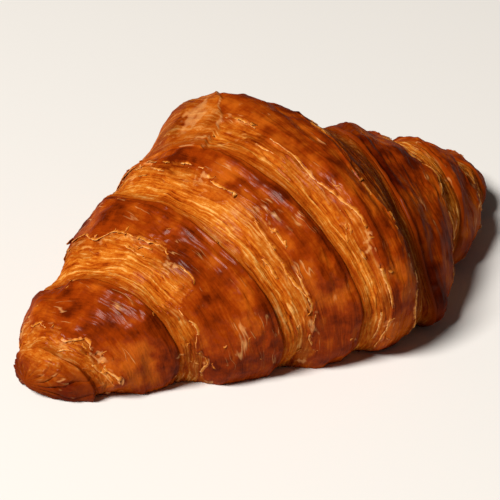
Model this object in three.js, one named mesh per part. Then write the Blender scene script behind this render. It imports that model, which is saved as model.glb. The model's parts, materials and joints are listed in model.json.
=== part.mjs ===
// A butter croissant: a long triangle of laminated dough, rolled up into overlapping wraps and bowed
// into a shallow crescent. Millimetres, +Z up. It rests on its flat base, its length lies along X,
// its bowed side faces -Y, and its thickest wrap, with the point of the triangle, is in the middle.
import * as THREE from 'three';
import { mergeVertices } from 'three/addons/utils/BufferGeometryUtils.js';

// Overall sizes
const nearArm = 67.2;          // middle to the -X tip
const farArm = 69.6;           // middle to the +X tip
const bow = 6.4;               // how far both tips sit back, towards +Y
const bowSkew = 7.1;           // the +X tip sits this much further back, the -X tip as much less
const halfWidth = 39.9;        // section at the middle, under the crown wrap
const halfHeight = 27.5;
const axisHeight = 0.607;      // height of the section's centre, as a share of its half height
const crownRound = 0.24;       // rounds the taper off at the middle
const noseSteepness = 6;       // how late the tips close
const middleRounding = { take: 1.6, reach: 0.11 };   // taken off the half width around the middle

// How the section tapers towards each tip: powers of the taper, and what is left at the tip
const nearTaper = { width: 0.641, height: 0.998, tip: 0.257 };
const farTaper = { width: 0.747, height: 0.700, tip: 0.260 };

// The creases between the wraps, from the -X tip to the +X tip. at is the place along the length,
// -1 to 1, where the crease crosses the front shoulder. lean is how far it runs outwards as it climbs
// over the back, curl how far towards +X at both ends of the climb.
const creases = [
  { at: -0.926, lean: -0.071, curl: 0.019 },
  { at: -0.676, lean: -0.104, curl: -0.003 },
  { at: -0.391, lean: -0.109, curl: 0.020 },
  { at: -0.150, lean: -0.139, curl: -0.018 },
  { at: 0.263, lean: 0.163, curl: 0.136 },
  { at: 0.623, lean: 0.157, curl: -0.006 },
  { at: 0.837, lean: 0.038, curl: -0.006 },
];

// The wraps. from is the inner crease, to the outer one or the tip. rise is the height of the wrap's
// shoulder, skin the share of it that the top skin covers before its torn edge, frontSkin the same
// low on the bowed side.
const tipEnd = 1;
const wraps = [
  { from: creases[0].at, to: -tipEnd, rise: 1.1, skin: 0.60, frontSkin: 0.60 },
  { from: creases[1].at, to: creases[0].at, rise: 1.7, skin: 0.72, frontSkin: 0.82 },
  { from: creases[2].at, to: creases[1].at, rise: 1.7, skin: 0.47, frontSkin: 0.80 },
  { from: creases[3].at, to: creases[2].at, rise: 1.7, skin: 0.42, frontSkin: 0.66 },
  { from: creases[4].at, to: creases[5].at, rise: 1.5, skin: 0.66, frontSkin: 0.70 },
  { from: creases[5].at, to: creases[6].at, rise: 1.5, skin: 0.62, frontSkin: 0.62 },
  { from: creases[6].at, to: tipEnd, rise: 1.1, skin: 0.60, frontSkin: 0.60 },
];
const shoulderStart = 0.14;    // share of a wrap in which its skin rises from the crease
const tearDrop = 0.7;          // step down from the skin to the layers below its torn edge
const tearWidth = 0.07;        // share of a wrap that the step takes

// The wrap in the middle, with open layers on both sides of its top skin
const crown = {
  from: creases[3].at,
  to: creases[4].at,
  rise: 3.2,
  topStart: 0.34,
  topEnd: 0.58,
  skinStart: 0.23,
  skinEnd: 0.60,
  openFade: 0.12,
};

// The wrap beyond the crown bulges low on its bowed side
const foot = { at: 0.336, reach: 0.159, angle: -0.336, spread: 0.285, height: 4.2 };

// Unevenness: each wave runs along the length and a whole number of times round it
const swells = [
  { height: 0.55, along: 9, round: 2, phase: 0.4 },
  { height: 0.45, along: 15, round: -3, phase: 2.1 },
  { height: 0.35, along: 24, round: 5, phase: 4.0 },
  { height: 0.28, along: 37, round: -7, phase: 1.3 },
];
const tearWaves = [
  { height: 0.050, along: 11, round: 3, phase: 0.9 },
  { height: 0.035, along: 19, round: 8, phase: 2.7 },
  { height: 0.030, along: 7, round: 13, phase: 5.1 },
];
const layerPitch = 4.4;        // mm between the ridges of the layers that show below a torn edge
const layerHeight = 0.38;

// Facets
const ringCount = 103;
const sideCount = 54;
const ringCrowding = 0.97;      // 0 spaces the rings evenly

const degree = Math.PI / 180;
const climbStart = -50 * degree;   // a crease climbs from here, under the front,
const climbEnd = 170 * degree;     // to here, low on the back, and returns under the base
const climbMiddle = 60 * degree;
const frontStart = 75 * degree;    // the skins widen from here
const frontEnd = -5 * degree;      // to here, low on the bowed side

function clamp(value, low, high) {
  return Math.min(Math.max(value, low), high);
}

// 0 below low, 1 above high, smooth between
function ease(low, high, value) {
  const t = clamp((value - low) / (high - low), 0, 1);
  return t * t * (3 - 2 * t);
}

function waveSum(waves, along, angle) {
  let sum = 0;
  for (const wave of waves) {
    sum += wave.height * Math.sin(wave.along * along + wave.round * angle + wave.phase);
  }
  return sum;
}

// Share of the middle section that is left at u, 0 in the middle and 1 at a tip, before the nose
function arm(u, power, tip) {
  const round = Math.hypot(u, crownRound) - crownRound;
  const full = Math.hypot(1, crownRound) - crownRound;
  return 1 - (1 - tip) * (round / full) ** power;
}

// What the rounded nose takes off the section close to a tip
function noseLoss(u, tip) {
  return tip * (1 - Math.sqrt(Math.max(1 - u ** noseSteepness, 0)));
}

// How far round its climb a crease is at this angle, from -1 under the front to 1 low on the back
function climb(angle) {
  const turned = THREE.MathUtils.euclideanModulo(angle - climbStart, 2 * Math.PI) + climbStart;
  if (turned < climbEnd) {
    return Math.sin((Math.PI / 2) * (turned - climbMiddle) / (climbEnd - climbMiddle));
  }
  return Math.cos(Math.PI * (turned - climbEnd) / (climbStart + 2 * Math.PI - climbEnd));
}

// How far a ring is carried along the length at this angle, as its neighbouring creases are
function carry(along, angle) {
  const rest = { lean: 0, curl: 0 };
  const stops = [{ at: -tipEnd, ...rest }, ...creases, { at: tipEnd, ...rest }];
  const upper = stops.findIndex((stop, index) => index > 0 && along <= stop.at);
  const low = stops[upper - 1];
  const high = stops[upper];
  const lean = THREE.MathUtils.mapLinear(along, low.at, high.at, low.lean, high.lean);
  const curl = THREE.MathUtils.mapLinear(along, low.at, high.at, low.curl, high.curl);
  const height = climb(angle);
  return lean * height + curl * height * height;
}

// Share of a wrap that its skin covers at this angle
function skinShare(wrap, angle) {
  const turned = THREE.MathUtils.euclideanModulo(angle + Math.PI / 2, 2 * Math.PI) - Math.PI / 2;
  return THREE.MathUtils.lerp(wrap.frontSkin, wrap.skin, ease(frontEnd, frontStart, turned));
}

// Ridges of the open layers, across the length
function layerRidges(along) {
  return layerHeight * Math.sin(2 * Math.PI * along * nearArm / layerPitch);
}

// Height of one wrap over the plain roll: up from the crease, over the skin, down its torn edge
// and down the open layers to the next crease
function wrapHeight(wrap, along, angle) {
  const share = (along - wrap.from) / (wrap.to - wrap.from);
  if (share <= 0 || share > 1) {
    return 0;
  }
  const skin = skinShare(wrap, angle);
  const up = ease(0, shoulderStart, share);
  const down = 1 - ease(skin * 0.7, 1, share);
  const tear = skin + waveSum(tearWaves, along, angle);
  const open = ease(tear, tear + tearWidth, share) * (1 - share);
  return wrap.rise * up * down - open * (tearDrop - layerRidges(along));
}

// Height of the wrap in the middle: a short open side, a rounded top and a long far side
function crownHeight(along, angle) {
  const share = (along - crown.from) / (crown.to - crown.from);
  if (share < 0 || share > 1) {
    return 0;
  }
  const tear = waveSum(tearWaves, along, angle) / 2;
  const nearOpen = 1 - ease(crown.skinStart + tear - tearWidth, crown.skinStart + tear, share);
  const farOpen = ease(crown.skinEnd + tear, crown.skinEnd + tear + tearWidth, share);
  const inside = ease(0, crown.openFade, share) * (1 - ease(1 - crown.openFade, 1, share));
  const top = ease(0, crown.topStart, share) * (1 - ease(crown.topEnd, 1, share));
  return crown.rise * top - (nearOpen + farOpen) * inside * (tearDrop - layerRidges(along)) / 2;
}

// Height of the bulge low on the bowed side
function footHeight(along, angle) {
  const turned = THREE.MathUtils.euclideanModulo(angle + Math.PI, 2 * Math.PI) - Math.PI;
  const offAlong = (along - foot.at) / foot.reach;
  const offAngle = (turned - foot.angle) / foot.spread;
  return foot.height * Math.exp(-(offAlong ** 2) - offAngle ** 2);
}

function relief(along, angle) {
  let height = crownHeight(along, angle) + footHeight(along, angle);
  for (const wrap of wraps) {
    height += wrapHeight(wrap, along, angle);
  }
  const nearTip = ease(0, 0.12, 1 - Math.abs(along));
  return height * ease(0, 0.05, 1 - Math.abs(along)) + nearTip * waveSum(swells, along, angle);
}

// A point of the surface. along runs -1 to 1 from tip to tip and angle round the roll:
// 0 faces -Y, a quarter turn is the top.
function surfacePoint(along, angle) {
  const place = clamp(along + carry(along, angle), -tipEnd, tipEnd);
  const u = Math.abs(place);
  const taper = place < 0 ? nearTaper : farTaper;
  const reach = place < 0 ? nearArm : farArm;
  const turn = Math.atan2(2 * bow * place + 3 * bowSkew * place * place, reach);
  const rounding = middleRounding.take * Math.exp(-((u / middleRounding.reach) ** 2));
  const wide = halfWidth * (arm(u, taper.width, taper.tip) - noseLoss(u, taper.tip)) - rounding;
  const tallBefore = halfHeight * arm(u, taper.height, taper.tip);
  const tall = tallBefore - halfHeight * noseLoss(u, taper.tip);
  const height = relief(along, angle);
  const side = (wide + height) * Math.cos(angle);
  const up = tallBefore * axisHeight + (tall + height) * Math.sin(angle);
  return new THREE.Vector3(
    place * reach + Math.sin(turn) * side,
    bow * place * place + bowSkew * place ** 3 - Math.cos(turn) * side,
    Math.max(up, 0),
  );
}

// Place of a ring along the length, the rings a little closer together towards the tips
function ringPlace(ring) {
  const even = 2 * ring / (ringCount + 1) - 1;
  return Math.sin(ringCrowding * even) / Math.sin(ringCrowding);
}

// Rings of the surface from tip to tip, closed at each tip by one point
function croissantGeometry() {
  const points = [surfacePoint(-tipEnd, 0)];
  for (let ring = 1; ring <= ringCount; ring += 1) {
    const along = ringPlace(ring);
    for (let side = 0; side < sideCount; side += 1) {
      points.push(surfacePoint(along, 2 * Math.PI * side / sideCount));
    }
  }
  points.push(surfacePoint(tipEnd, 0));

  const corner = (ring, side) => 1 + (ring - 1) * sideCount + side % sideCount;
  const last = points.length - 1;
  const faces = [];
  for (let side = 0; side < sideCount; side += 1) {
    faces.push(0, corner(1, side), corner(1, side + 1));
    faces.push(last, corner(ringCount, side + 1), corner(ringCount, side));
  }
  for (let ring = 1; ring < ringCount; ring += 1) {
    for (let side = 0; side < sideCount; side += 1) {
      const a = corner(ring, side);
      const b = corner(ring + 1, side);
      const c = corner(ring + 1, side + 1);
      const d = corner(ring, side + 1);
      faces.push(a, b, c, a, c, d);
    }
  }
  const geometry = new THREE.BufferGeometry().setFromPoints(points);
  geometry.setIndex(faces);
  geometry.computeBoundingBox();
  const middle = geometry.boundingBox.getCenter(new THREE.Vector3());
  geometry.translate(-middle.x, -middle.y, -geometry.boundingBox.min.z);
  return mergeVertices(geometry);
}

const crust = new THREE.MeshStandardMaterial({ color: 0xb5601f, roughness: 0.5, metalness: 0 });
const croissant = new THREE.Mesh(croissantGeometry(), crust);
croissant.name = 'croissant';

const part = new THREE.Group();
part.add(croissant);

export default part;
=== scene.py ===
import itertools
import json
import math

import bmesh
import bpy
import numpy as np
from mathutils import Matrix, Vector

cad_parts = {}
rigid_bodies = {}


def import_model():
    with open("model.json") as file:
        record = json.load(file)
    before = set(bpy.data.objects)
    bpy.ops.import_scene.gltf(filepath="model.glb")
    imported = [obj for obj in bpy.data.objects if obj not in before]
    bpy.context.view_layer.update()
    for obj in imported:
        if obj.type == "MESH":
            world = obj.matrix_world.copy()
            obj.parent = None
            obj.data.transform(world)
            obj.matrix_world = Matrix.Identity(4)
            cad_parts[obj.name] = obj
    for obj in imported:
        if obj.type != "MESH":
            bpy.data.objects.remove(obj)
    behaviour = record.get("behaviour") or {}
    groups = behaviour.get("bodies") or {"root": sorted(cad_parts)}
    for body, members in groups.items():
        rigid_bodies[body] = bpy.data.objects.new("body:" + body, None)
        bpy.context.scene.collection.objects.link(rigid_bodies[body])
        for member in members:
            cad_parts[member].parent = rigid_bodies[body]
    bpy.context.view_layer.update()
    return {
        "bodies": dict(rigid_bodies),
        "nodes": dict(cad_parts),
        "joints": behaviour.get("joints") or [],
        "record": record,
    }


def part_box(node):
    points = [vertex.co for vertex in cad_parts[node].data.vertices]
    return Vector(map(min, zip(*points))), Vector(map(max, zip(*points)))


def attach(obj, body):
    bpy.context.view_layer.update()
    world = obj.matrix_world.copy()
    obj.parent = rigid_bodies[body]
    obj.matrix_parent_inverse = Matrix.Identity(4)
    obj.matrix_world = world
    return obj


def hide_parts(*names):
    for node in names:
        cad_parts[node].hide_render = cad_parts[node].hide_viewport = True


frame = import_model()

mm = 0.001

# camera, at the photo's viewing angle; millimetres and degrees
camera = {
    "azimuth": -37.84,
    "elevation": 31.82,
    "distance": 452.7,
    "target": (-11.8, -8.0, 20.0),
    "viewAngle": 13.99,
}

# the roll of dough, the same sizes as the solid; millimetres, angles in radians
roll = {
    "nearArm": 67.2,  # middle to the -X tip
    "farArm": 69.6,  # middle to the +X tip
    "bow": 6.4,
    "bowSkew": 7.1,
    "halfWidth": 39.9,
    "halfHeight": 27.5,
    "axisHeight": 0.607,
    "crownRound": 0.24,
    "noseSteepness": 6,
    "girth": 190,  # round the middle, about
    "middleRounding": {"take": 1.6, "reach": 0.11},  # taken off the half width around the middle
    "nearTaper": {"width": 0.641, "height": 0.998, "tip": 0.257},
    "farTaper": {"width": 0.747, "height": 0.700, "tip": 0.260},
    "creaseAt": (-0.926, -0.676, -0.391, -0.150, 0.263, 0.623, 0.837),
    "creaseLean": (-0.071, -0.104, -0.109, -0.139, 0.163, 0.157, 0.038),
    "creaseCurl": (0.019, -0.003, 0.020, -0.018, 0.136, -0.006, -0.006),
    "climbStart": math.radians(-50),
    "climbEnd": math.radians(170),
    "climbMiddle": math.radians(60),
    "swells": ((0.55, 9, 2, 0.4), (0.45, 15, -3, 2.1), (0.35, 24, 5, 4.0), (0.28, 37, -7, 1.3)),
    "tearWaves": ((0.050, 11, 3, 0.9), (0.035, 19, 8, 2.7), (0.030, 7, 13, 5.1)),
    "foot": {"at": 0.336, "reach": 0.159, "angle": -0.336, "spread": 0.285, "height": 4.2},
}
crease = roll["creaseAt"]

# each wrap runs from its inner crease to its outer one; skin is the share that the top skin covers,
# frontSkin the same low on the bowed side
wraps = [
    {"from": crease[0], "to": -1.0, "rise": 1.1, "skin": 0.60, "frontSkin": 0.60},
    {"from": crease[1], "to": crease[0], "rise": 1.7, "skin": 0.72, "frontSkin": 0.82},
    {"from": crease[2], "to": crease[1], "rise": 1.7, "skin": 0.47, "frontSkin": 0.80},
    {"from": crease[3], "to": crease[2], "rise": 1.7, "skin": 0.42, "frontSkin": 0.66},
    {"from": crease[4], "to": crease[5], "rise": 1.5, "skin": 0.66, "frontSkin": 0.70},
    {"from": crease[5], "to": crease[6], "rise": 1.5, "skin": 0.62, "frontSkin": 0.62},
    {"from": crease[6], "to": 1.0, "rise": 1.1, "skin": 0.60, "frontSkin": 0.60},
]
shoulderStart = 0.14  # share of a wrap over which it rises out of its crease
fallStart = 0.7  # share of the skin past which it falls away again
frontStart, frontEnd = math.radians(75), math.radians(-5)
crown = {"from": crease[3], "to": crease[4], "rise": 3.2, "topStart": 0.34, "topEnd": 0.58,
         "skinStart": 0.23, "skinEnd": 0.60, "stray": 0.5}


# smooth helpers on arrays

def ease(low, high, value):
    t = np.clip((value - low) / (high - low), 0, 1)
    return t * t * (3 - 2 * t)


def waveSum(waves, along, angle):
    total = np.zeros(along.shape)
    for height, alongTurns, roundTurns, phase in waves:
        total += height * np.sin(alongTurns * along + roundTurns * angle + phase)
    return total


def fade(t):
    return t * t * t * (t * (6 * t - 15) + 10)


def sheetNoise(x, y, rows, seed):
    # gradient noise, about -1 to 1, that repeats after so many rows in y
    columns = 512
    turns = np.random.default_rng(seed).uniform(0, 2 * math.pi, (columns, rows))
    leanX, leanY = np.cos(turns), np.sin(turns)
    cellX, cellY = np.floor(x).astype(int), np.floor(y).astype(int)
    inX, inY = x - cellX, y - cellY

    def corner(i, j):
        a, b = (cellX + i) % columns, (cellY + j) % rows
        return leanX[a, b] * (inX - i) + leanY[a, b] * (inY - j)

    sx, sy = fade(inX), fade(inY)
    low = corner(0, 0) * (1 - sx) + corner(1, 0) * sx
    high = corner(0, 1) * (1 - sx) + corner(1, 1) * sx
    return 1.5 * (low * (1 - sy) + high * sy)


def cornerRow(order, cell, corner):
    # the row of the random tables that belongs to a corner of the cell
    row = 0
    for axis, step in enumerate(corner):
        row = order[(row + cell[:, axis] + step) % len(order)]
    return row


def solidNoise(points, scale, seed):
    # gradient noise in space, about -1 to 1
    size = 256
    random = np.random.default_rng(seed)
    order = random.permutation(size)
    leans = random.normal(size=(size, 3))
    leans /= np.linalg.norm(leans, axis=1)[:, None]
    spot = points / scale
    cell = np.floor(spot).astype(int)
    inside = spot - cell
    soft = fade(inside)
    total = np.zeros(len(points))
    for corner in itertools.product((0, 1), repeat=3):
        part = (leans[cornerRow(order, cell, corner)] * (inside - corner)).sum(1)
        total += part * np.where(corner, soft, 1 - soft).prod(1)
    return 1.6 * total


def domes(points, scale, share, seed):
    # rounded blisters, 0 to 1, one in a share of the cells of a jittered grid
    size = 256
    random = np.random.default_rng(seed)
    order = random.permutation(size)
    jitter = random.uniform(0.15, 0.85, (size, 3))
    radius = random.uniform(0.35, 0.75, size) * (random.uniform(size=size) < share)
    spot = points / scale
    cell = np.floor(spot).astype(int)
    inside = spot - cell
    best = np.zeros(len(points))
    for corner in itertools.product((-1, 0, 1), repeat=3):
        row = cornerRow(order, cell, corner)
        away = inside - (jitter[row] + corner)
        far = (away ** 2).sum(1) / np.maximum(radius[row], 0.01) ** 2
        best = np.maximum(best, np.where(radius[row] > 0, np.clip(1 - far, 0, 1), 0))
    return best


# the plain form

def arm(u, power, tip):
    inner = np.hypot(u, roll["crownRound"]) - roll["crownRound"]
    full = math.hypot(1, roll["crownRound"]) - roll["crownRound"]
    return 1 - (1 - tip) * (inner / full) ** power


def noseLoss(u, tip):
    return tip * (1 - np.sqrt(np.clip(1 - u ** roll["noseSteepness"], 0, 1)))


def climb(angle):
    start, end, middle = roll["climbStart"], roll["climbEnd"], roll["climbMiddle"]
    turned = np.mod(angle - start, 2 * math.pi) + start
    rising = np.sin((math.pi / 2) * (turned - middle) / (end - middle))
    falling = np.cos(math.pi * (turned - end) / (start + 2 * math.pi - end))
    return np.where(turned < end, rising, falling)


def carry(along, angle):
    # how far a ring is carried along the length at this angle, as its neighbouring creases are
    stops = (-1, *roll["creaseAt"], 1)
    lean = np.interp(along, stops, (0, *roll["creaseLean"], 0))
    curl = np.interp(along, stops, (0, *roll["creaseCurl"], 0))
    height = climb(angle)
    return lean * height + curl * height ** 2


def skinShare(wrap, angle):
    turned = np.mod(angle + math.pi / 2, 2 * math.pi) - math.pi / 2
    return wrap["frontSkin"] + (wrap["skin"] - wrap["frontSkin"]) * ease(frontEnd, frontStart, turned)


def bandShare(band, along):
    return (along - band["from"]) / (band["to"] - band["from"])


def wrapHeight(wrap, along, angle):
    share = bandShare(wrap, along)
    up = ease(0, shoulderStart, share)
    down = 1 - ease(skinShare(wrap, angle) * fallStart, 1, share)
    return np.where((share > 0) & (share <= 1), wrap["rise"] * up * down, 0)


def crownHeight(along):
    share = bandShare(crown, along)
    up = ease(0, crown["topStart"], share)
    down = 1 - ease(crown["topEnd"], 1, share)
    return np.where((share >= 0) & (share <= 1), crown["rise"] * up * down, 0)


def footHeight(along, angle):
    foot = roll["foot"]
    turned = np.mod(angle + math.pi, 2 * math.pi) - math.pi
    offAlong = (along - foot["at"]) / foot["reach"]
    offAngle = (turned - foot["angle"]) / foot["spread"]
    return foot["height"] * np.exp(-offAlong ** 2 - offAngle ** 2)


def formHeight(along, angle):
    height = crownHeight(along) + footHeight(along, angle)
    for wrap in wraps:
        height = height + wrapHeight(wrap, along, angle)
    left = 1 - np.abs(along)
    return height * ease(0, 0.05, left) + ease(0, 0.12, left) * waveSum(roll["swells"], along, angle)


def rollPoints(along, angle, height, shrink=1.0):
    # points of the surface in millimetres; shrink pulls a ring in towards the middle of the roll
    place = np.clip(along + carry(along, angle), -1, 1)
    u = np.abs(place)
    near = place < 0

    def side(key):
        return np.where(near, roll["nearTaper"][key], roll["farTaper"][key])

    reach = np.where(near, roll["nearArm"], roll["farArm"])
    turn = np.arctan2(2 * roll["bow"] * place + 3 * roll["bowSkew"] * place ** 2, reach)
    loss = noseLoss(u, side("tip"))
    rounding = roll["middleRounding"]["take"] * np.exp(-(u / roll["middleRounding"]["reach"]) ** 2)
    wide = roll["halfWidth"] * (arm(u, side("width"), side("tip")) - loss) - rounding
    centre = roll["halfHeight"] * arm(u, side("height"), side("tip"))
    tall = centre - roll["halfHeight"] * loss
    out = (wide + height) * shrink * np.cos(angle)
    up = centre * roll["axisHeight"] + (tall + height) * shrink * np.sin(angle)
    x = place * reach + np.sin(turn) * out
    y = roll["bow"] * place ** 2 + roll["bowSkew"] * place ** 3 - np.cos(turn) * out
    return np.stack([x, y, np.maximum(up, 0)], -1)


def frameShift():
    # what brings the plain form to where the solid stands
    along, angle = np.meshgrid(np.linspace(-1, 1, 201), np.linspace(0, 2 * math.pi, 109))
    spots = rollPoints(along, angle, formHeight(along, angle)).reshape(-1, 3)
    low, high = (np.array(corner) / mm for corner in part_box("croissant"))
    shift = (low + high) / 2 - (spots.min(0) + spots.max(0)) / 2
    return np.array([shift[0], shift[1], 0.0])


shift = frameShift()
print("plain form laid on the solid, shift in mm", shift.round(2))


# the open layers, the skin and its torn edges
# clouds are given by their scale in mm and a seed, streaks by their pitch and run in mm and a seed,
# domes by their spacing in mm, the share of places that have one and a seed

layers = {
    # edges of the sheets: height in mm, and weight in the painted lines
    "grains": (
        {"streaks": (0.34, 10, 32), "height": 0.10, "line": 0.34},
        {"streaks": (0.22, 6, 33), "height": 0.04, "line": 0.20},
        {"streaks": (1.1, 13, 34), "height": 0.13, "line": 0.22},
    ),
    "wander": 0.75,  # mm that the edges wander to the sides, and the two waves of it
    "longWander": (6, 17, 30),
    "shortWander": (2.5, 6, 31),
    "shortShare": 0.35,
    # some sheets end in a taller ledge
    "ledge": {"pitch": 2.3, "height": 0.20, "line": 0.35, "rise": 0.13, "bend": 0.9, "streaks": (9, 21, 35),
              "least": 0.55, "change": 0.45, "turns": 14, "seed": 36},
    # small blisters among them: height in mm and domes
    "bubbles": ((0.12, 2.4, 0.5, 36), (0.072, 1.3, 0.5, 37)),
    "underSkin": 0.5,  # share of their height that shows through the skin
}
# the top skin tears first, then the two sheets below it; millimetres and shares
sheets = [
    {"past": 0.0, "drop": 0.34, "stray": 1.2, "streak": 0.9, "baked": 0.36,
     "strips": 0.52, "film": 0.60, "seed": 50},
    {"past": 1.5, "drop": 0.22, "stray": 1.5, "streak": 1.3, "baked": 0.32,
     "strips": 0.15, "film": 0.30, "seed": 60},
    {"past": 3.4, "drop": 0.18, "stray": 1.9, "streak": 1.7, "baked": 0.32,
     "strips": 0.05, "film": 0.15, "seed": 70},
]
tears = {
    "long": {"weight": 0.80, "pitch": 8, "run": 15},
    "short": {"weight": 0.16, "pitch": 3, "run": 8},
    "streakPitch": 0.8,
    "streakRun": 7,
    "fray": {"depth": 0.15, "pitch": 1.0, "run": 2.5},
    "curlScale": 4.5,  # mm, size of the places where an edge curls up
    "lipWidth": 0.26,
    "glint": 0.6,  # how pale the edges are, partly a painted highlight
    "broken": (1.4, 4, 90),  # streaks that break the pale edges up
    "filmWidth": 0.9,
    "patches": (4.2, 101),  # pale film left along the edges, partly painted highlight, and its crinkles
    "crinkles": (1.0, 102),
}
skin = {
    "lip": 0.30,  # mm that a torn edge curls up
    "puff": 0.40,  # slow swelling, in two sizes
    "puffClouds": ((1.0, 9, 41), (0.5, 4.5, 42)),
    "ridge": 0.42,  # long low ridges that run with the layers
    "ridges": (2.1, 20, 97),
    "ridgePlaces": (14, 98),
    "crumplePlaces": (12, 44),
    "bend": 1.0,  # mm that the folds are bent to and fro
    "bendScale": 3.2,
    "bendSeeds": (81, 82, 83),
    "fold": 0.26,  # crumpled folds, three sizes
    "folds": (5.2, 43),
    "wrinkle": 0.30,
    "wrinkles": (2.6, 11, 48),
    "crinkle": 0.04,
    "crinkles": (1.3, 49),
    "foldBase": 0.25,
    "blisters": ((0.26, 3.4, 0.25, 45), (0.0312, 1.7, 0.35, 46)),  # height in mm and domes
}
# the end of the rolled sheet lies over the back of the crown, its torn edge running across the layers
flap = {
    "edgeAlong": (-0.22, -0.18, -0.12, -0.088, -0.044, 0.0, 0.10, 0.20),
    "edgeAngle": (94, 94, 97, 101, 107, 117, 140, 170),  # degrees round the roll
    "farEdge": 215,
    "rise": 0.45,
    "riseWidth": 9,  # mm in from its edge over which it settles
    "tear": 1.3,  # mm that its edge strays, in two sizes
    "tearClouds": ((1.0, 5.5, 95), (0.5, 2.2, 96)),
    "perRadian": 30,  # mm for each radian round the roll there
    "baked": 0.62,
    # painted highlight patch: place along the roll, degrees round it, and how far it reaches either way
    "highlightPatch": {"along": -0.065, "angle": 117, "reach": 0.050, "spread": 7, "pale": 0.45,
              "ragged": (1.8, 99)},
}
# millimetres: the hollow is part filled, with a thin dark line in it
creases = {"fill": 1.05, "depth": 0.55}
tipFolds = {"from": 0.90, "count": 15, "depth": 1.1, "bare": 0.70, "bareHeight": (7, 11),
            "deepHeight": (4.5, 9.5), "sway": (7, 47), "ragged": (6, 94)}
# darker parts, partly baking and partly painted shade: mm above the base, share of each arm, and the far side
# of the crown, painted shade
scorchAndShade = {"height": 15.0, "tipHeight": 11.0, "low": 0.20, "tips": 0.13, "riser": 1.0,
          "riserStart": (0.52, 0.70), "riserEnd": (1.02, 1.30), "ragged": 3, "raggedClouds": (9, 92)}
# crumples of film on the skins, where loose flakes may grow
crumples = {"spots": (2.2, 91), "groups": (11, 93), "sharpness": 14}


def bandCoordinates(along, angle):
    # for each point: mm out from its inner crease, mm to its outer crease, mm past the mean torn edge
    inner = np.zeros(along.shape)
    outer = np.zeros(along.shape)
    past = np.full(along.shape, -9.0)
    stray = waveSum(roll["tearWaves"], along, angle)
    for wrap in wraps:
        width = abs(wrap["to"] - wrap["from"]) * roll["nearArm"]
        share = bandShare(wrap, along)
        here = (share > 0) & (share <= 1)
        inner = np.where(here, share * width, inner)
        outer = np.where(here, (1 - share) * width, outer)
        past = np.where(here, (share - skinShare(wrap, angle) - stray) * width, past)
    width = (crown["to"] - crown["from"]) * roll["nearArm"]
    share = bandShare(crown, along)
    here = (share >= 0) & (share <= 1)
    nearEdge = (crown["skinStart"] - share + stray * crown["stray"]) * width
    farEdge = (share - crown["skinEnd"] - stray * crown["stray"]) * width
    inner = np.where(here, (1 - share) * width, inner)
    outer = np.where(here, share * width, outer)
    past = np.where(here, np.maximum(nearEdge, farEdge), past)
    return inner, outer, past


def grain(across, turn, pitch, run, seed):
    # long streaks that run round the roll
    rows = max(int(round(roll["girth"] / run)), 4)
    return sheetNoise(across / pitch, turn * rows, rows, seed)


def gap(distance, width):
    # 1 in the middle, falling off to the sides
    return np.exp(-(distance / width) ** 2)


def layerField(across, turn):
    # height in mm and a line value, 0 in the gaps and 1 on the edges of the sheets
    sway = grain(across, turn, *layers["longWander"])
    sway = sway + layers["shortShare"] * grain(across, turn, *layers["shortWander"])
    spot = across + layers["wander"] * sway
    ledge = layers["ledge"]
    count = spot / ledge["pitch"] + ledge["bend"] * grain(across, turn, *ledge["streaks"])
    step = count - np.floor(count)
    noise = sheetNoise(np.floor(count) + 0.5, turn * ledge["turns"], ledge["turns"], ledge["seed"])
    rise = (ease(0, ledge["rise"], step) - step) * (ledge["least"] + ledge["change"] * noise)
    height = ledge["height"] * rise
    line = 0.5 + ledge["line"] * rise
    for part in layers["grains"]:
        value = grain(spot, turn, *part["streaks"])
        height = height + part["height"] * value
        line = line + part["line"] * value
    return height, line


def clouds(base, parts):
    return sum(weight * solidNoise(base, scale, seed) for weight, scale, seed in parts)


def bubbles(base, parts):
    return sum(height * domes(base, *dome) for height, *dome in parts)


def flapReach(base, along, angle):
    # mm inwards from the flap's edge, below 0 off the flap
    edge = np.radians(np.interp(along, flap["edgeAlong"], flap["edgeAngle"]))
    inside = (angle - edge) * flap["perRadian"] + flap["tear"] * clouds(base, flap["tearClouds"])
    ends = np.minimum(along - flap["edgeAlong"][1], flap["edgeAlong"][-1] - along) * roll["nearArm"]
    behind = (math.radians(flap["farEdge"]) - angle) * flap["perRadian"]
    return np.minimum(np.minimum(inside, ends * 2), behind)


def tent(values):
    # sharp crests where the noise crosses zero, flat facets between them
    return 1 - np.minimum(1.6 * np.abs(values), 1)


def tearStray(sheet, across, turn):
    total = 0
    for offset, part in enumerate((tears["long"], tears["short"])):
        wave = grain(across, turn, part["pitch"], part["run"], sheet["seed"] + offset)
        total = total + part["weight"] * wave
    return sheet["stray"] * total


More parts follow.
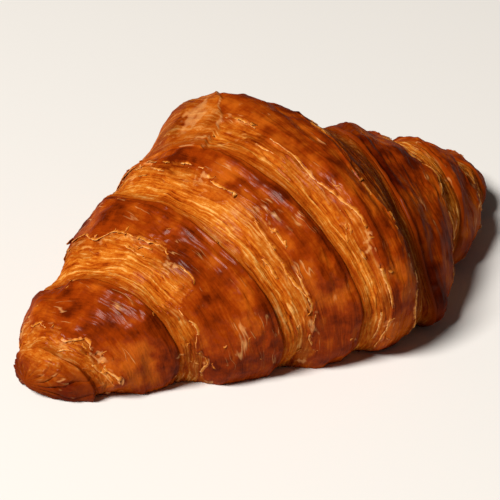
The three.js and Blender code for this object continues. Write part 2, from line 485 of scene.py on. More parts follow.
def tornSheets(base, along, across, turn, past):
    # where the skin and the two sheets below it are torn away: how far the surface drops, how much of the
    # skin is left, the curled lips, the pale edges and film (partly painted highlight), and the edges where
    # flakes may grow
    drop, lips, glint, edge = (np.zeros(past.shape) for _ in range(4))
    baked = np.ones(past.shape)
    broken = ease(-0.1, 0.45, grain(across, turn, *tears["broken"]))
    patches = ease(0.12, 0.45, solidNoise(base, *tears["patches"]))
    patches = patches * ease(-0.25, 0.35, solidNoise(base, *tears["crinkles"]))
    patches = patches * ease(crease[0], crease[0] + 0.03, along)
    fray = tears["fray"]
    for sheet in sheets:
        seed = sheet["seed"]
        streaks = grain(across, turn, tears["streakPitch"], tears["streakRun"], seed + 2)
        rough = tearStray(sheet, across, turn) + sheet["streak"] * streaks
        rough = rough + fray["depth"] * grain(across, turn, fray["pitch"], fray["run"], seed + 3)
        beyond = past - sheet["past"] - rough
        torn = ease(-0.08, 0.14, beyond)
        depth = sheet["drop"] / sheets[0]["drop"]
        drop = drop + sheet["drop"] * torn
        baked = baked - sheet["baked"] * torn
        curl = ease(-0.25, 0.45, solidNoise(base, tears["curlScale"], seed + 4)) * depth
        lips = lips + curl * gap(beyond + 0.30, tears["lipWidth"])
        edge = np.maximum(edge, depth * gap(beyond + 0.1, 0.3))
        # pale torn edges and film, partly painted highlight
        glint = np.maximum(glint, tears["glint"] * curl * broken * gap(beyond + 0.03, 0.2))
        glint = np.maximum(glint, sheet["film"] * patches * gap(beyond - 0.2, tears["filmWidth"]))
    return drop, baked, lips, glint, edge, broken


def layFlap(base, along, angle, torn):
    # the flap covers the layers again
    drop, baked, lips, glint, edge, broken = torn
    onFlap = flapReach(base, along, angle)
    covered = ease(-0.5, 0.5, onFlap)
    baked = baked + (flap["baked"] - baked) * covered
    drop = drop * (1 - covered) - flap["rise"] * covered * ease(flap["riseWidth"], 1, onFlap)
    # pale flap edge, partly painted highlight
    glint = np.maximum(glint * (1 - covered), tears["glint"] * broken * gap(onFlap - 0.15, 0.3))
    # a painted highlight patch on the flap
    highlightPatch = flap["highlightPatch"]
    offSpot = ((along - highlightPatch["along"]) / highlightPatch["reach"]) ** 2
    offSpot = offSpot + ((angle - math.radians(highlightPatch["angle"])) / math.radians(highlightPatch["spread"])) ** 2
    pale = ease(0.3, 1.0, np.exp(-offSpot) + 0.6 * solidNoise(base, *highlightPatch["ragged"])) * covered
    glint = np.maximum(glint, highlightPatch["pale"] * pale)
    edge = np.maximum(edge * (1 - covered), gap(onFlap - 0.3, 0.4))
    lips = np.maximum(lips * (1 - covered), 0.6 * gap(onFlap - 0.6, 0.5))
    return drop, baked, lips, glint, edge


def skinRelief(base, across, turn, layerHeight):
    # the swelling, the whole relief of the skin, where it is blistered and where film may stand off it
    places = ease(-0.3, 0.3, solidNoise(base, *skin["ridgePlaces"]))
    puff = skin["puff"] * clouds(base, skin["puffClouds"])
    puff = puff + skin["ridge"] * grain(across, turn, *skin["ridges"]) * (0.4 + 0.6 * places)
    crumpled = 0.25 + 0.75 * ease(-0.25, 0.3, solidNoise(base, *skin["crumplePlaces"]))
    swing = np.stack([solidNoise(base, skin["bendScale"], seed) for seed in skin["bendSeeds"]], -1)
    bent = base + skin["bend"] * swing
    foldTent = tent(solidNoise(bent, *skin["folds"]))
    wrinkleTent = tent(grain(across + bent[..., 2] - base[..., 2], turn, *skin["wrinkles"]))
    crinkleTent = tent(solidNoise(bent, *skin["crinkles"]))
    relief = skin["fold"] * foldTent + skin["wrinkle"] * wrinkleTent + skin["crinkle"] * crinkleTent
    blisters = bubbles(base, skin["blisters"])
    height = puff + crumpled * (relief - skin["foldBase"]) + blisters + layers["underSkin"] * layerHeight
    spots = ease(0.15, 0.6, solidNoise(base, *crumples["spots"]))
    spots = spots * ease(0.0, 0.3, solidNoise(base, *crumples["groups"])) * crumpled
    crest = np.maximum(foldTent, 0.9 * wrinkleTent) ** crumples["sharpness"] * spots
    return puff, height, blisters, crest


def scorchAndShadeMask(base, along, deep):
    # darker low down and at the tips, partly real baking and partly painted shade; the crown's far side is
    # painted shade
    tip = 1 - ease(0.5 * scorchAndShade["tips"], scorchAndShade["tips"], 1 - np.abs(along))
    reach = scorchAndShade["height"] - (scorchAndShade["height"] - scorchAndShade["tipHeight"]) * tip
    ragged = scorchAndShade["ragged"] * solidNoise(base, *scorchAndShade["raggedClouds"])
    low = 1 - ease(0.03, 1, (base[..., 2] + ragged) / reach)
    share = bandShare(crown, along)
    riser = ease(*scorchAndShade["riserStart"], share) * (1 - ease(*scorchAndShade["riserEnd"], share))
    return np.maximum.reduce([scorchAndShade["low"] * low, tip * deep, scorchAndShade["riser"] * riser])


def surfaceDetail(along, angle):
    # height of all that lies on the plain form, the masks that the materials read, where flakes may grow
    base = rollPoints(along, angle, formHeight(along, angle))
    inner, outer, past = bandCoordinates(along, angle)
    across, turn = along * roll["nearArm"], angle / (2 * math.pi)
    layerHeight, line = layerField(across, turn)
    torn = tornSheets(base, along, across, turn, past)
    drop, baked, lips, glint, edge = layFlap(base, along, angle, torn)
    puff, skinHeight, blisters, crest = skinRelief(base, across, turn, layerHeight)

    groove = np.clip(gap(inner, 0.4) + gap(outer, 0.3), 0, 1)
    fill = np.clip(gap(inner, 1.0) + gap(outer, 2.6), 0, 1)
    bareHeight = layerHeight + 0.8 * puff + bubbles(base, layers["bubbles"])
    height = baked * skinHeight + (1 - baked) * bareHeight + skin["lip"] * lips - drop
    height = height * (1 - 0.4 * groove) + creases["fill"] * fill - creases["depth"] * groove

    # crimped folds round both tips, and bare layers on top of the near one
    fromTip = 1 - np.abs(along)
    bare = ease(crease[0] + 0.01, crease[0] - 0.01, along) * ease(*tipFolds["bareHeight"], base[..., 2])
    baked = baked * (1 - tipFolds["bare"] * bare)
    crimp = np.abs(np.sin(0.5 * tipFolds["count"] * angle + 2.2 * solidNoise(base, *tipFolds["sway"])))
    deep = 1 - ease(*tipFolds["deepHeight"], base[..., 2] + 2 * solidNoise(base, *tipFolds["ragged"]))
    inTip = (0.2 + 0.8 * deep) * (1 - ease(0.02, 1 - tipFolds["from"], fromTip)) * ease(0, 0.02, fromTip)
    height = height * ease(0, 0.05, fromTip) - tipFolds["depth"] * inTip * (1 - crimp) ** 2

    masks = {
        "baked": baked,
        "line": np.clip(line, 0, 1),
        "glint": glint,
        # painted shade in the creases
        "crease": np.clip(gap(inner, 0.8) + gap(outer, 1.7), 0, 1),
        "puff": np.clip(0.5 + 0.5 * (puff + blisters) / skin["puff"], 0, 1),
        # darker low down and at the tips, partly baking and partly painted shade, and painted shade on the
        # crown's far side
        "scorchAndShade": scorchAndShadeMask(base, along, deep),
    }
    return height, masks, {"edge": edge, "crest": crest * ease(0.6, 0.95, baked)}


# the body, in closed pieces that meet in the creases

bodyPieces = [
    {"name": "nearTip", "from": -1.0, "to": crease[1], "rings": 190},
    {"name": "nearWrap", "from": crease[1], "to": crease[2], "rings": 165},
    {"name": "middleWrap", "from": crease[2], "to": crease[3], "rings": 140},
    {"name": "crownWrap", "from": crease[3], "to": crease[4], "rings": 225},
    {"name": "farWrap", "from": crease[4], "to": crease[5], "rings": 205},
    {"name": "farTip", "from": crease[5], "to": 1.0, "rings": 235},
]
sidesRound = 384
# share of the sides up to each angle: fewer under the base and behind
sideShares, sideAngles = (0, 0.05, 0.80, 0.95, 1), (-90, -45, 150, 225, 270)
# each ring that closes a cut end: its place past the crease, and its size
capSteps = ((0.012, 0.55), (0.010, 0.93))
weldReach = 2e-7


def ringPlaces(piece):
    # place along the roll and size of every ring; a cut end closes inside its neighbour
    start, end = piece["from"], piece["to"]
    places = [(spot, 1.0) for spot in np.linspace(start, end, piece["rings"])]
    if start > -1:
        cap = [(start - step, size) for step, size in capSteps]
        places = [(cap[0][0], 0.0)] + cap + places
    if end < 1:
        cap = [(end + step, size) for step, size in reversed(capSteps)]
        places = places + cap + [(cap[-1][0], 0.0)]
    return np.array(places)


def addObject(name, data):
    thing = bpy.data.objects.new(name, data)
    bpy.context.scene.collection.objects.link(thing)
    return thing


def addPiece(name, bm, mesh):
    bmesh.ops.recalc_face_normals(bm, faces=bm.faces)
    for face in bm.faces:
        face.smooth = True
    bm.to_mesh(mesh)
    bm.free()
    piece = addObject(name, mesh)
    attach(piece, "root")
    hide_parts("croissant")
    return piece


def makeBodyPiece(piece, material):
    rings = ringPlaces(piece)
    mesh = bpy.data.meshes.new(piece["name"])
    bm = bmesh.new()
    bm.loops.layers.uv.new("crust")
    bmesh.ops.create_grid(bm, x_segments=len(rings) - 1, y_segments=sidesRound, size=1, calc_uvs=True)
    bm.to_mesh(mesh)
    bm.free()

    # lay the grid round the roll, its seam under the base
    co = np.empty(len(mesh.vertices) * 3)
    mesh.vertices.foreach_get("co", co)
    co = co.reshape(-1, 3)
    ring = np.rint((co[:, 0] + 1) / 2 * (len(rings) - 1)).astype(int)
    angle = np.radians(np.interp((co[:, 1] + 1) / 2, sideShares, sideAngles))
    along = rings[ring, 0]
    held = np.clip(along, piece["from"], piece["to"])
    detail, masks, _ = surfaceDetail(held, angle)
    spots = rollPoints(along, angle, formHeight(held, angle) + detail, rings[ring, 1]) + shift
    mesh.vertices.foreach_set("co", (spots * mm).ravel())
    for name, values in masks.items():
        mask = mesh.attributes.new(name, "FLOAT", "POINT")
        mask.data.foreach_set("value", values.astype(np.float32))

    # the map's u runs across the wraps and its v round the roll, both in centimetres
    uv = np.empty(len(mesh.loops) * 2)
    layer = mesh.uv_layers["crust"]
    layer.data.foreach_get("uv", uv)
    uv = uv.reshape(-1, 2)
    places = np.interp(uv[:, 0] * (len(rings) - 1), np.arange(len(rings)), rings[:, 0])
    uv[:, 0] = places * roll["nearArm"] / 10
    uv[:, 1] = (np.interp(uv[:, 1], sideShares, sideAngles) + 90) / 360 * roll["girth"] / 10
    layer.data.foreach_set("uv", uv.ravel())

    # weld the seam and the closed ends
    bm = bmesh.new()
    bm.from_mesh(mesh)
    bmesh.ops.remove_doubles(bm, verts=bm.verts, dist=weldReach)
    mesh.materials.append(material)
    return addPiece(piece["name"], bm, mesh)


# materials

# linear colours, and how rough and how glossy each kind of surface is
crust = {
    "gap": (0.170, 0.018, 0.0008, 1),
    "layerDark": (0.330, 0.048, 0.0022, 1),
    "layerMiddle": (0.470, 0.100, 0.0050, 1),
    "layerLight": (0.600, 0.195, 0.018, 1),
    "layerPale": (0.770, 0.400, 0.115, 1),
    "skinDark": (0.095, 0.009, 0.0005, 1),
    "skinMiddle": (0.245, 0.029, 0.0011, 1),
    "skinLight": (0.440, 0.086, 0.0045, 1),
    "film": (0.820, 0.420, 0.145, 1),  # thin raised folds and torn edges, partly their own pale colour and partly painted highlight
    # painted shade in the creases, reddened like light bounced between the wraps
    "crease": (0.240, 0.032, 0.0013, 1),
    "scorchAndShade": (0.36, 0.22, 0.15, 1),  # what deep baking and painted shade leave of each colour
    "layerRoughness": 0.62,
    "skinRoughness": 0.34,
    "skinGlaze": 0.085,  # weight of the thin gloss
    "layerGlaze": 0.03,
    "glazeRoughness": 0.22,
    "reliefStrength": 0.8,
    "reliefDepth": 0.4 * mm,
    "filmRoughness": 0.45,
    "filmGlaze": 0.2,
    "filmGlazeRoughness": 0.3,
}


def feed(tree, node, inputs):
    # every input named gets a link or a plain value
    for key, value in inputs.items():
        if isinstance(value, bpy.types.NodeSocket):
            tree.links.new(value, node.inputs[key])
        else:
            node.inputs[key].default_value = value


def newNode(tree, kind, inputs=None, **values):
    node = tree.nodes.new(kind)
    for key, value in values.items():
        setattr(node, key, value)
    feed(tree, node, inputs or {})
    return node


def readMask(tree, name):
    return newNode(tree, "ShaderNodeAttribute", attribute_name=name).outputs["Fac"]


def mixColour(tree, factor, first, second, blend="MIX"):
    inputs = {0: factor, 6: first, 7: second}
    return newNode(tree, "ShaderNodeMix", inputs, data_type="RGBA", blend_type=blend).outputs[2]


def doMath(tree, operation, *values, clamped=False):
    inputs = dict(enumerate(values))
    return newNode(tree, "ShaderNodeMath", inputs, operation=operation, use_clamp=clamped).outputs[0]


def makeNoise(tree, vector, scale, detail, roughness=0.6):
    inputs = {"Vector": vector, "Scale": scale, "Detail": detail, "Roughness": roughness}
    return newNode(tree, "ShaderNodeTexNoise", inputs).outputs


def stretched(tree, vector, scale):
    return newNode(tree, "ShaderNodeMapping", {"Vector": vector, "Scale": scale}).outputs["Vector"]


def remap(tree, value, low, high, toLow=0.0, toHigh=1.0):
    inputs = {"Value": value, "From Min": low, "From Max": high, "To Min": toLow, "To Max": toHigh}
    return newNode(tree, "ShaderNodeMapRange", inputs).outputs["Result"]


def startGroup(name, inputs, outputs):
    group = bpy.data.node_groups.new(name, "ShaderNodeTree")
    for label in inputs:
        group.interface.new_socket(name=label, in_out="INPUT", socket_type="NodeSocketVector")
    for label in outputs:
        group.interface.new_socket(name=label, in_out="OUTPUT", socket_type="NodeSocketFloat")
    return group, newNode(group, "NodeGroupInput").outputs, newNode(group, "NodeGroupOutput").inputs


def useGroup(tree, group, **links):
    return newNode(tree, "ShaderNodeGroup", links, node_tree=group).outputs


def swayed(tree, mapped, place, scale, amount):
    # the map with its lines bent to and fro
    noise = makeNoise(tree, place, scale, 1, 0.5)["Color"]
    centred = newNode(tree, "ShaderNodeVectorMath", {0: noise, 1: (0.5, 0.5, 0.5)}, operation="SUBTRACT")
    inputs = {0: centred.outputs[0], 1: amount, 2: mapped}
    return newNode(tree, "ShaderNodeVectorMath", inputs, operation="MULTIPLY_ADD").outputs[0]


def makeStrandGroup():
    # edges of the sheets: fine streaks and broader bands that run round the roll
    group, given, result = startGroup("sheetEdges", ("Map", "Place"), ("Streak", "Band"))
    bent = swayed(group, given["Map"], given["Place"], 240, (0.10, 0.6, 0))
    for label, scale, detail, roughness in (("Streak", (25, 1.1, 1), 4, 0.65), ("Band", (6, 0.6, 1), 2, 0.5)):
        noise = makeNoise(group, stretched(group, bent, scale), 1.0, detail, roughness)
        group.links.new(noise["Fac"], result[label])
    return group


def makeMottleGroup():
    # uneven browning, from fine grain to large clouds
    group, given, result = startGroup("unevenBake", ("Place",), ("Grain", "Blotch", "Cloud"))
    for label, scale, detail in (("Grain", 900, 2), ("Blotch", 330, 3), ("Cloud", 80, 2)):
        group.links.new(makeNoise(group, given["Place"], scale, detail)["Fac"], result[label])
    return group


def makeWrinkleGroup():
    # thin broken folds of the baked film; the crust raises them and paints them pale as highlights
    group, given, result = startGroup("filmFolds", ("Map", "Place"), ("Fold",))
    bent = swayed(group, given["Map"], given["Place"], 170, (0.22, 0.6, 0))
    noise = makeNoise(group, stretched(group, bent, (5.0, 0.42, 1)), 1.0, 1.5, 0.5)["Fac"]
    off = doMath(group, "ABSOLUTE", doMath(group, "SUBTRACT", noise, 0.5))
    line = doMath(group, "MULTIPLY_ADD", off, -34.0, 1.0, clamped=True)
    some = remap(group, makeNoise(group, given["Place"], 150, 2)["Fac"], 0.53, 0.66)
    group.links.new(doMath(group, "MULTIPLY", line, some), result["Fold"])
    return group


def weighted(tree, parts):
    # sum of values about their middle, each with its weight
    total = 0.0
    for value, weight in parts:
        total = doMath(tree, "MULTIPLY_ADD", doMath(tree, "SUBTRACT", value, 0.5), weight, total)
    return total


def ramp(tree, tone, colour, *steps):
    # from the first colour on, each step mixes the next one in over a range of the tone
    for low, high, name in steps:
        colour = mixColour(tree, remap(tree, tone, low, high), colour, crust[name])
    return colour


def startMaterial(name):
    material = bpy.data.materials.new(name)
    material.use_nodes = True
    return material, material.node_tree


def makeCrustMaterial(strands, mottle, folds):
    material, tree = startMaterial("bakedCrust")
    place = newNode(tree, "ShaderNodeTexCoord").outputs["Object"]
    mapped = newNode(tree, "ShaderNodeUVMap", uv_map="crust").outputs["UV"]
    strand = useGroup(tree, strands, Map=mapped, Place=place)
    bake = useGroup(tree, mottle, Place=place)
    fold = useGroup(tree, folds, Map=mapped, Place=place)["Fold"]
    baked, line, puff = readMask(tree, "baked"), readMask(tree, "line"), readMask(tree, "puff")

    # the open layers, from their gaps to their palest edges
    tone = weighted(tree, (
        (strand["Streak"], 2.0),
        (line, 0.6),
        (strand["Band"], 1.0),
        (bake["Blotch"], 0.45),
        (bake["Grain"], 0.6),
        (bake["Cloud"], 0.3),
    ))
    layerColour = ramp(tree, tone, crust["gap"], (-0.50, -0.28, "layerDark"), (-0.32, 0.0, "layerMiddle"),
                       (-0.05, 0.32, "layerLight"), (0.22, 0.58, "layerPale"))

    # the glazed skin, darker where it swells
    tone = weighted(tree, (
        (bake["Cloud"], 1.7),
        (bake["Blotch"], 0.80),
        (bake["Grain"], 0.30),
        (strand["Streak"], 0.35),
        (strand["Band"], 0.35),
        (line, 0.20),
        (puff, -0.45),
    ))
    skinColour = ramp(tree, tone, crust["skinDark"], (-0.38, -0.02, "skinMiddle"), (0.0, 0.42, "skinLight"))

    # darker baked parts and painted shade, painted shade in the creases and the pale film with its painted
    # highlights go over both
    dark = readMask(tree, "scorchAndShade")
    colour = mixColour(tree, baked, layerColour, skinColour)
    # darker by baking and by painted shade
    colour = mixColour(tree, remap(tree, dark, 0.0, 1.0, 0, 0.92), colour, crust["scorchAndShade"], "MULTIPLY")
    # painted shade in the creases
    creaseShade = remap(tree, readMask(tree, "crease"), 0.10, 1.0, 0, 0.65)
    colour = mixColour(tree, creaseShade, colour, crust["crease"])
    # folds painted pale as highlights, fewer in the darker parts
    fold = doMath(tree, "MULTIPLY", fold, remap(tree, dark, 0.1, 0.8, 0.65, 0.1))
    pale = doMath(tree, "MAXIMUM", readMask(tree, "glint"), fold)
    colour = mixColour(tree, remap(tree, pale, 0.15, 0.9, 0, 0.8), colour, crust["film"])

    rough = remap(tree, baked, 0, 1, crust["layerRoughness"], crust["skinRoughness"])
    rough = doMath(tree, "MULTIPLY_ADD", dark, 0.3, rough)
    uneven = doMath(tree, "SUBTRACT", bake["Blotch"], 0.5)
    rough = doMath(tree, "MULTIPLY_ADD", uneven, 0.5, rough, clamped=True)
    grainy = doMath(tree, "MULTIPLY", bake["Grain"], remap(tree, baked, 0, 1, 0.7, 0.4))
    streaky = remap(tree, baked, 0, 1, 0.8, 0.3)
    height = doMath(tree, "MULTIPLY_ADD", strand["Streak"], streaky, grainy)
    bump = newNode(tree, "ShaderNodeBump", {
        "Strength": crust["reliefStrength"],
        "Distance": crust["reliefDepth"],
        "Height": doMath(tree, "MULTIPLY_ADD", fold, 0.5, height),
    })
    feed(tree, tree.nodes["Principled BSDF"], {
        "Base Color": colour,
        "Roughness": rough,
        "Specular IOR Level": 0.0,
        "Coat Roughness": crust["glazeRoughness"],
        "Coat Weight": remap(tree, baked, 0.2, 1, crust["layerGlaze"], crust["skinGlaze"]),
        "Normal": bump.outputs["Normal"],
    })
    return material


def makeFilmMaterial(mottle):
    # torn strips and loose flakes: brown where they grow out of the skin, pale at the free edge
    material, tree = startMaterial("tornFilm")
    place = newNode(tree, "ShaderNodeTexCoord").outputs["Object"]
    bake = useGroup(tree, mottle, Place=place)
    tone = weighted(tree, ((bake["Blotch"], 1.4), (bake["Grain"], 1.2), (readMask(tree, "pale"), 0.9)))
    feed(tree, tree.nodes["Principled BSDF"], {
        "Base Color": ramp(tree, tone, crust["skinMiddle"], (-0.4, 0.1, "layerLight"), (0.1, 0.6, "film")),
        "Roughness": crust["filmRoughness"],
        "Specular IOR Level": 0.0,
        "Coat Roughness": crust["filmGlazeRoughness"],
        "Coat Weight": crust["filmGlaze"],
    })
    return material


# strips of the torn sheets, standing off along their edges; millimetres
strips = {
    "root": 0.55,  # how far inside the edge a strip starts
    "reach": 0.50,  # how far it stands out at most
    "lift": 0.13,
    "thickness": 0.06,
    "spacing": 0.5,
    "fewPoints": 90,
    "fewest": 8,
    "farLess": 0.45,  # the crown's far edge has fewer
    "offFlap": 0.4,  # mm, and the share of an arm, past which there is none
    "tipLimit": 0.97,
    "jump": 0.5,  # a sideways step that cuts a strip in two
    "shortest": 2.5,
    "cutReach": 0.14,  # less than this and there is no strip
    "reachWaves": ((1.1, 12, 110), (0.5, 4.0, 111)),
    "curlWave": (0.8, 3.5, 112),
    # row by row, from the root to the free edge: how much each point strays out, up and aside
    "rowStray": ((0, 0, 0), (0, 0, 0.05), (0.03, 0.01, 0.10), (0.08, 0.04, 0.16)),
    "seed": 11,
    "anglesFrom": math.radians(-25),
    "anglesTo": math.radians(205),
}


def plainFrames(along, angle):
    # tangent round the roll, tangent towards the far tip, outward normal, all of the plain form
    def spotAt(a, b):
        return rollPoints(a, b, formHeight(a, b))

    def unit(vectors):
        return vectors / np.linalg.norm(vectors, axis=-1, keepdims=True)

    step = 0.01
    roundWay = unit(spotAt(along, angle + step) - spotAt(along, angle - step))
    lengthWay = spotAt(along + step, angle) - spotAt(along - step, angle)
    normal = unit(np.cross(roundWay, lengthWay))
    middle = rollPoints(along, angle, 0 * along, 0.5)
    normal = normal * np.sign((normal * (spotAt(along, angle) - middle)).sum(-1, keepdims=True))
    across = unit(np.cross(normal, roundWay))
    return roundWay, across * np.sign((across * lengthWay).sum(-1, keepdims=True)), normal


def tearLines():
    # each torn edge: its band, the mean share of its skin, how much the waves count, the way to the open
    # side, and how much less of it stands off
    for wrap in wraps:
        yield wrap["from"], wrap["to"], lambda angle, wrap=wrap: skinShare(wrap, angle), 1.0, 1.0, 0.0
    start, end, stray = crown["from"], crown["to"], crown["stray"]
    yield start, end, lambda angle: crown["skinStart"] + 0 * angle, stray, -1.0, 0.0
    yield start, end, lambda angle: crown["skinEnd"] + 0 * angle, stray, 1.0, strips["farLess"]


def tearPlaces(line, sheet, angle):
    # places of a torn edge at these angles, found in a few rounds, and where it is there at all
    start, end, meanShare, waves, way, _ = line
    width = abs(end - start) * roll["nearArm"]
    share = meanShare(angle)
    for _ in range(6):
        along = start + share * (end - start)
        across, turn = along * roll["nearArm"], angle / (2 * math.pi)
        past = sheet["past"] + tearStray(sheet, across, turn)
        share = meanShare(angle) + waves * waveSum(roll["tearWaves"], along, angle) + way * past / width
    return start + share * (end - start), (share > 0.04) & (share < 0.94)


def stripReach(along, angle, torn, where, share):
    # how far the strip stands out at each place, 0 where it is cut away
    turn = angle / (2 * math.pi)
    reach = share
    for weight, run, seed in strips["reachWaves"]:
        reach = reach + weight * grain(0 * turn + where, turn, 1, run, seed)
    jump = np.abs(np.diff(along, prepend=along[0])) * roll["nearArm"] > strips["jump"]
    torn = torn & ~jump & ~np.roll(jump, -1)
    reach = np.where(torn, np.clip(reach, 0, 1.0), 0) * strips["reach"]
    breaks = np.nonzero(np.diff(reach >= strips["cutReach"]))[0] + 1
    for run in np.split(np.arange(len(angle)), breaks):
        if len(run) * strips["spacing"] < strips["shortest"]:
            reach[run] = 0
    return reach


def addStrip(bm, pale, random, along, angle, torn, way, share):
    # a band of four rows of points: buried root, surface, half way out and free edge; parts without reach
    # are cut away
    size = len(angle)
    where = random.uniform(0, 400)
    reach = stripReach(along, angle, torn, where, share)
    weight, run, seed = strips["curlWave"]
    turn = angle / (2 * math.pi)
    curl = 1.0 + weight * grain(0 * turn + where, turn, 1, run, seed)
    roundWay, across, normal = plainFrames(along, angle)
    across = across * way
    inside = along - np.sign(way) * strips["root"] / roll["nearArm"]
    ground = surfaceAt(inside, angle)[0]
    made = bmesh.ops.create_grid(bm, x_segments=size - 1, y_segments=3, size=1)
    for vert in made["verts"]:
        index = int(round((vert.co.x + 1) / 2 * (size - 1)))
        row = int(round((vert.co.y + 1) / 2 * 3))
        root, lift = strips["root"], strips["lift"] * curl[index]
        out = (0, root * 0.7, root + 0.5 * reach[index], root + reach[index])[row]
        up = (-0.10, 0.0, 0.03 + 0.4 * lift, 0.03 + lift)[row]
        strayOut, strayUp, strayAside = strips["rowStray"][row]
        out += strayOut * random.normal()
        up += strayUp * random.normal()
        aside = strayAside * random.normal()
        spot = ground[index] + across[index] * out + normal[index] * up + roundWay[index] * aside
        vert.co = Vector(spot * mm)
        vert[pale] = row / 3
        vert.tag = reach[index] < strips["cutReach"]
    gone = [face for face in {face for vert in made["verts"] for face in vert.link_faces}
            if any(vert.tag for vert in face.verts)]
    bmesh.ops.delete(bm, geom=gone, context="FACES")


def makeStrips(material):
    random = np.random.default_rng(strips["seed"])
    bm = bmesh.new()
    pale = bm.verts.layers.float.new("pale")
    for line in tearLines():
        start, end, _, _, way, less = line
        side = way * np.sign(end - start)
        for sheet in sheets:
            # measured once with few points, then laid at an even spacing
            angle = np.linspace(strips["anglesFrom"], strips["anglesTo"], strips["fewPoints"])
            along, _ = tearPlaces(line, sheet, angle)
            steps = np.diff(rollPoints(along, angle, 0 * along), axis=0)
            length = np.linalg.norm(steps, axis=1).sum()
            count = max(int(length / strips["spacing"]), strips["fewest"])
            angle = np.linspace(strips["anglesFrom"], strips["anglesTo"], count)
            along, torn = tearPlaces(line, sheet, angle)
            base = rollPoints(along, angle, formHeight(along, angle))
            torn = torn & (flapReach(base, along, angle) < -strips["offFlap"])
            torn = torn & (np.abs(along) < strips["tipLimit"])
            addStrip(bm, pale, random, along, angle, torn, side, sheet["strips"] - less)
    return finishFilm(bm, "tornStrips", strips["thickness"], material)


def finishFilm(bm, name, thickness, material):
    bmesh.ops.solidify(bm, geom=bm.faces[:], thickness=thickness * mm)
    mesh = bpy.data.meshes.new(name)
    mesh.materials.append(material)
    return addPiece(name, bm, mesh)


flakes = {
    "edgeCount": 90,  # along the torn edges
    "skinCount": 110,  # crumples of film on the skins
    "tries": 30000,
    "alongRange": (-0.88, 0.95),
    "angleRange": (-25, 200),  # degrees round the roll
    "leastEdge": 0.55,
    "leastCrest": 0.25,
    "spacing": 1.1,  # mm, the least between two
    "length": (0.7, 2.3),
    "width": (0.20, 0.80),
    "lift": (4, 28),  # degrees that the free side stands off
    "thickness": 0.05,
    "swing": 0.7,  # radians that they turn away from the run of the layers
    "seed": 7,
    # single larger ones: place along the roll, degrees round it, length, width and lift
    "single": ((-0.503, 154, 2.4, 1.5, 35), (-0.049, 89, 1.8, 1.2, 25)),
}


def surfaceAt(along, angle):
    detail, _, growth = surfaceDetail(along, angle)
    return rollPoints(along, angle, formHeight(along, angle) + detail) + shift, growth


def chooseSpots(random):
    # candidates on the upper side, kept where an edge or a crumpled skin is, not too close together
    tries = flakes["tries"]
    along = random.uniform(*flakes["alongRange"], tries)
    angle = np.radians(random.uniform(*flakes["angleRange"], tries))
    spot, growth = surfaceAt(along, angle)
    onEdge = growth["edge"] > flakes["leastEdge"]
    onSkin = growth["crest"] > flakes["leastCrest"]
    kept = []
    for limit, good in ((flakes["edgeCount"], onEdge), (flakes["skinCount"], onSkin)):
        taken = 0
        for index in np.nonzero(good)[0]:
            gaps = np.linalg.norm(spot[kept] - spot[index], axis=1)
            near = kept and np.min(gaps) < flakes["spacing"]
            if not near:
                kept.append(index)
                taken += 1
            if taken == limit:
                break
    return along[kept], angle[kept]


def addFlake(bm, pale, random, frame, size):
    # a thin ragged patch, one long side on the surface and the other curling off it
    spot, roundWay, outWay, normal = frame
    length, width, lift = *size[:2], math.radians(size[2])
    made = bmesh.ops.create_grid(bm, x_segments=6, y_segments=2, size=0.5)
    lean = random.uniform(-0.35, 0.35)
    bend = random.uniform(-0.5, 0.9)
    for vert in made["verts"]:
        x, y = vert.co.x, vert.co.y + 0.5
        ragged = (1 - (2 * abs(x)) ** 2.2 * 0.75) * random.uniform(0.7, 1.15)
        free = y * ragged * width
        rise = math.sin(lift) * free + bend * free * free / width * 0.3 + 0.25 * width * x * x - 0.05
        aside = x * length + lean * free + random.uniform(-0.06, 0.06) * length
        offset = roundWay * aside + outWay * (math.cos(lift) * free - 0.2) + normal * rise
        vert.co = Vector((spot + offset) * mm)
        vert[pale] = 0.1 + 0.6 * y


def makeFlakes(material):
    random = np.random.default_rng(flakes["seed"])
    along, angle = chooseSpots(random)
    singles = flakes["single"]
    along = np.append(along, [single[0] for single in singles])
    angle = np.append(angle, [math.radians(single[1]) for single in singles])
    spot = surfaceAt(along, angle)[0]
    roundWay, outWay, normal = plainFrames(along, angle)
    bm = bmesh.new()
    pale = bm.verts.layers.float.new("pale")
    for index in range(len(along)):
        swing = random.normal() * flakes["swing"]
        if index < len(along) - len(singles):
            size = [random.uniform(*flakes[key]) for key in ("length", "width", "lift")]
        else:
            size, swing = singles[index - len(along)][2:], 0
        away = -1 if along[index] < 0 else 1
        longWay = roundWay[index] * math.cos(swing) + outWay[index] * math.sin(swing)
        freeWay = (outWay[index] * math.cos(swing) - roundWay[index] * math.sin(swing)) * away
        addFlake(bm, pale, random, (spot[index], longWay, freeWay, normal[index]), size)
    return finishFilm(bm, "flakes", flakes["thickness"], material)


# floor, light and camera

studio = {
    "floor": (0.86, 0.855, 0.85, 1),
    "world": (1.0, 0.90, 0.78),
    "worldStrength": 0.04,
    "centre": (0, 0, 0.02),  # what the light is aimed at, in metres
    "key": {
        "azimuth": -84,
        "elevation": 50,
        "distance": 2.0,
        "size": 0.65,
        "power": 57.0,
        "colour": (1.0, 0.95, 0.88),
    },
}


def aimed(place, target):
    return (Vector(target) - Vector(place)).to_track_quat("-Z", "Y").to_euler()


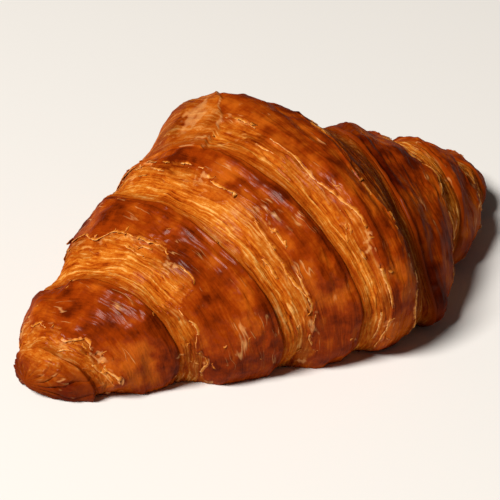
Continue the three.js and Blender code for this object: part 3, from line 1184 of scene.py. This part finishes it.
def aroundTarget(azimuth, elevation, distance, target):
    a, e = math.radians(azimuth), math.radians(elevation)
    back = Vector((math.sin(a) * math.cos(e), -math.cos(a) * math.cos(e), math.sin(e)))
    return Vector(target) + back * distance


def makeCamera():
    data = bpy.data.cameras.new("camera")
    data.angle = math.radians(camera["viewAngle"])
    data.clip_start = 0.01
    eye = addObject("camera", data)
    target = (np.array(camera["target"]) + shift) * mm
    eye.location = aroundTarget(camera["azimuth"], camera["elevation"], camera["distance"] * mm, target)
    eye.rotation_euler = aimed(eye.location, target)
    bpy.context.scene.camera = eye


def makeLight(name, light):
    data = bpy.data.lights.new(name, "AREA")
    data.shape = "DISK"
    data.size = light["size"]
    data.energy = light["power"]
    data.color = light["colour"]
    lamp = addObject(name, data)
    lamp.location = aroundTarget(light["azimuth"], light["elevation"], light["distance"], studio["centre"])
    lamp.rotation_euler = aimed(lamp.location, studio["centre"])


def makeFloor():
    mesh = bpy.data.meshes.new("floor")
    bm = bmesh.new()
    bmesh.ops.create_grid(bm, x_segments=1, y_segments=1, size=3)
    bm.to_mesh(mesh)
    bm.free()
    floor = addObject("floor", mesh)
    material, tree = startMaterial("paleFloor")
    feed(tree, tree.nodes["Principled BSDF"], {"Base Color": studio["floor"], "Roughness": 0.8})
    mesh.materials.append(material)


def makeWorld():
    world = bpy.data.worlds.new("studio")
    world.use_nodes = True
    background = world.node_tree.nodes["Background"]
    background.inputs["Color"].default_value = (*studio["world"], 1)
    background.inputs["Strength"].default_value = studio["worldStrength"]
    bpy.context.scene.world = world
    bpy.context.scene.view_settings.view_transform = "Standard"


makeCamera()
makeFloor()
makeWorld()
makeLight("key", studio["key"])
print("studio ready")

mottleGroup = makeMottleGroup()
crustMaterial = makeCrustMaterial(makeStrandGroup(), mottleGroup, makeWrinkleGroup())
filmMaterial = makeFilmMaterial(mottleGroup)
for bodyPiece in bodyPieces:
    made = makeBodyPiece(bodyPiece, crustMaterial)
    print("made", made.name, len(made.data.polygons), "faces")

for thin in (makeStrips(filmMaterial), makeFlakes(filmMaterial)):
    print("made", thin.name, len(thin.data.polygons), "faces")
